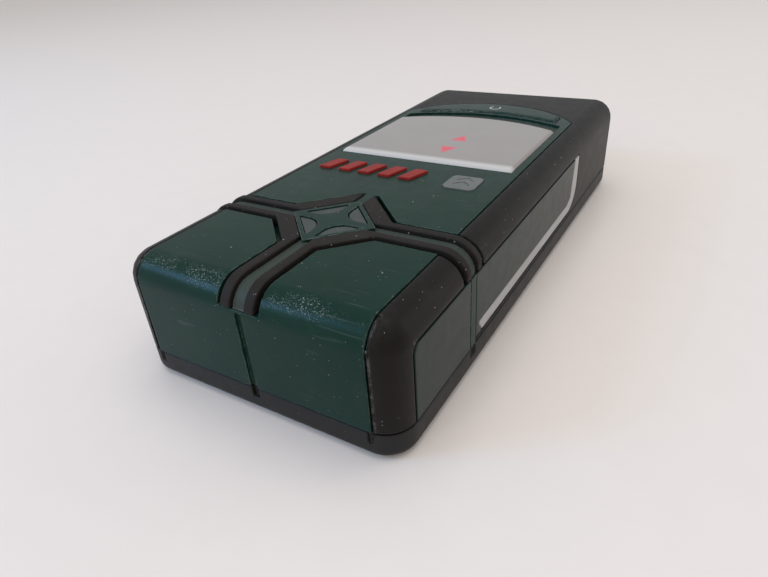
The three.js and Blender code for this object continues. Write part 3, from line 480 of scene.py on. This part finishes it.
def mark_display(material):
    """A light strip along the lens's near edge, and two lit arrowheads that point apart."""
    g = Graph(material)
    x, y, _ = g.axes()
    base = g.shader.inputs["Base Color"].links[0].from_socket
    starts, full = STRIP_FADE
    strip = g.ramp(y, LENS_NEAR_Y + starts, LENS_NEAR_Y + full)
    base = g.blend(strip, base, STRIP_COLOUR)
    beside = g.math("SUBTRACT", x, ARROW_X)
    arrows = g.math("MAXIMUM", *[g.triangle(beside, y, ARROW_HALF, foot, tip) for foot, tip in ARROWS])
    g.feed(g.shader.inputs["Base Color"], g.blend(arrows, base, ARROW_COLOUR))
    g.feed(g.shader.inputs["Emission Color"], ARROW_GLOW)
    g.feed(g.shader.inputs["Emission Strength"], g.product(arrows, ARROW_GLOW_STRENGTH))


mark_display(MATERIALS["lens_clear"])


# ---- the CAD nodes: rounded edges and finishes ----

# Edge radius of each node, in mm.
EDGES = {
    "top_shell": 0.13,
    "rubber_surround": 0.4,
    "rubber_corner_left": 0.45,
    "rubber_corner_right": 0.45,
    "groove_inlay_front_left": 0.32,
    "groove_inlay_front_right": 0.32,
    "groove_inlay_rear_left": 0.32,
    "groove_inlay_rear_right": 0.32,
    "base_tray": 0.3,
    "battery_door": 0.3,
    "power_key": 0.35,
    "badge_plate": 0.06,
}
OTHER_EDGES = 0.2
SAME_POINT = 0.002  # corners closer than this are one corner, in mm
FLAT = math.radians(0.6)  # faces that turn less than this are one face
SHARP = math.radians(32)  # edges that turn more than this are rounded


def round_edges(node, radius):
    weld = node.modifiers.new("weld", "WELD")
    weld.merge_threshold = SAME_POINT * MM
    flatten = node.modifiers.new("flatten", "DECIMATE")
    flatten.decimate_type = "DISSOLVE"
    flatten.angle_limit = FLAT
    bevel = node.modifiers.new("round", "BEVEL")
    bevel.width = radius * MM
    bevel.segments = 2
    bevel.limit_method = "ANGLE"
    bevel.angle_limit = SHARP
    bevel.use_clamp_overlap = False
    # An arc mitre would fold faces over each other in the shell's narrow pockets.
    bevel.miter_outer = "MITER_SHARP" if node.name == "top_shell" else "MITER_ARC"
    node.data.shade_smooth()
    split = node.modifiers.new("split", "TRIANGULATE")
    split.ngon_method = "BEAUTY"
    weighted = node.modifiers.new("weighted", "WEIGHTED_NORMAL")
    weighted.keep_sharp = True
    weighted.weight = 100


def finish_cad_nodes():
    for part in frame["record"]["subparts"]:
        node = nodes[part["node"]]
        node.data.materials.clear()
        node.data.materials.append(MATERIALS[part["material_slot"]])
        round_edges(node, EDGES.get(part["node"], OTHER_EDGES))


finish_cad_nodes()


# ---- the symbol on the power key ----

# A broken ring and a bar, in mm.
SYMBOL_Y = 47.9
RING_RADIUS = 1.6
RING_GAP = 40  # degrees from the middle of the gap to each of its ends
RING_STEPS = 40
LINE = 0.45
BAR_START = 0.2  # from the ring's middle
BAR_LENGTH = 1.9
SYMBOL_SUNK = 0.05  # how far below the key's crown the ring's print starts
SYMBOL_RAISED = 0.03  # how far it rises above the crown


def key_crown():
    """Height of the top of the power key, in metres."""
    key = nodes["power_key"]
    return max((key.matrix_world @ corner.co).z for corner in key.data.vertices)


def arc_corners(radius):
    """Points along the broken ring at one radius, from the left end of its gap, in metres."""
    start = math.radians(90 + RING_GAP)
    end = math.radians(450 - RING_GAP)
    turns = [start + (end - start) * step / RING_STEPS for step in range(RING_STEPS + 1)]
    return [(radius * math.cos(turn), SYMBOL_Y * MM + radius * math.sin(turn)) for turn in turns]


def bar_corners():
    half = LINE / 2 * MM
    near = SYMBOL_Y * MM + BAR_START * MM
    far = near + BAR_LENGTH * MM
    return [(-half, near), (half, near), (half, far), (-half, far)]


def make_symbol():
    """A broken ring as a thin print on the key's crown.

    The bar's face turns the other way, so its thickness runs down into the key and the bar doesn't show.
    """
    low = key_crown() - SYMBOL_SUNK * MM
    high = key_crown() + SYMBOL_RAISED * MM
    inner = arc_corners((RING_RADIUS - LINE / 2) * MM)
    outer = arc_corners((RING_RADIUS + LINE / 2) * MM)
    corners = inner + outer + bar_corners()
    across = len(inner)
    bar = len(inner + outer)
    faces = [(i, i + 1, across + 1 + i, across + i) for i in range(RING_STEPS)]
    faces.append((bar, bar + 1, bar + 2, bar + 3))
    mesh = bpy.data.meshes.new("power_symbol")
    mesh.from_pydata([(x, y, low) for x, y in corners], [], faces)
    symbol = bpy.data.objects.new("power_symbol", mesh)
    bpy.context.scene.collection.objects.link(symbol)
    solidify = symbol.modifiers.new("thickness", "SOLIDIFY")
    solidify.thickness = high - low
    solidify.offset = 1 if mesh.polygons[0].normal.z > 0 else -1
    mesh.materials.append(MATERIALS["display_silver"])
    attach(symbol, "power_key")


make_symbol()


# ---- floor, light and camera ----

FLOOR_WIDTH = 6
WORLD_COLOUR = (0.97, 0.98, 1.0)
WORLD_STRENGTH = 0.62

# Square area lights that aim at the middle of the object: place, width in metres, power in watts, colour.
LIGHTS_AIM = (0, 0, 0.01)
LIGHTS = {
    "ceiling": ((0.1, 0.0, 1.05), 1.0, 4.1, (1.0, 0.985, 0.97)),
    "window": ((-0.64, -0.58, 0.53), 0.28, 3.1, (0.24, 0.52, 0.95)),
    "front_fill": ((-0.05, -0.90, 0.50), 0.6, 1.5, (1.0, 0.97, 0.94)),
    "right_fill": ((0.72, 0.62, 0.36), 0.5, 1.0, (1.0, 0.98, 0.96)),
}

CAMERA_PLACE = (0.06831, -0.13068, 0.07815)
CAMERA_AIM = (-0.00046, -0.0249, 0.0012)
CAMERA_ROLL = math.radians(-4.36)
CAMERA_LENS = 27.05
CAMERA_SENSOR = 36
CAMERA_NEAR = 0.005


def make_floor():
    bpy.ops.mesh.primitive_plane_add(size=FLOOR_WIDTH)
    floor = bpy.context.object
    floor.name = "table"
    table = moulded("table_white", (0.795, 0.722, 0.672), 0.45, grain=0.6, grain_depth=0.0, mottle=0.006)
    floor.data.materials.append(table)


def make_world():
    world = bpy.data.worlds.new("studio")
    bpy.context.scene.world = world
    world.use_nodes = True
    background = world.node_tree.nodes["Background"]
    background.inputs["Color"].default_value = (*WORLD_COLOUR, 1)
    background.inputs["Strength"].default_value = WORLD_STRENGTH


def turn_towards(place, aim):
    """The turn of a light or camera at place that looks at aim."""
    return (Vector(aim) - Vector(place)).to_track_quat("-Z", "Y")


def make_light(name, place, width, power, colour):
    light = bpy.data.lights.new(name, "AREA")
    light.shape = "SQUARE"
    light.size = width
    light.energy = power
    light.color = colour
    lamp = bpy.data.objects.new(name, light)
    bpy.context.scene.collection.objects.link(lamp)
    lamp.location = place
    lamp.rotation_euler = turn_towards(place, LIGHTS_AIM).to_euler()


def make_camera():
    data = bpy.data.cameras.new("view")
    data.lens = CAMERA_LENS
    data.sensor_width = CAMERA_SENSOR
    data.clip_start = CAMERA_NEAR
    camera = bpy.data.objects.new("view", data)
    bpy.context.scene.collection.objects.link(camera)
    look = turn_towards(CAMERA_PLACE, CAMERA_AIM).to_matrix().to_4x4()
    camera.matrix_world = Matrix.Translation(CAMERA_PLACE) @ look @ Matrix.Rotation(CAMERA_ROLL, 4, "Z")
    bpy.context.scene.camera = camera


make_floor()
make_world()
for name, light in LIGHTS.items():
    make_light(name, *light)
make_camera()
bpy.context.scene.view_settings.view_transform = "Standard"

bpy.context.view_layer.update()
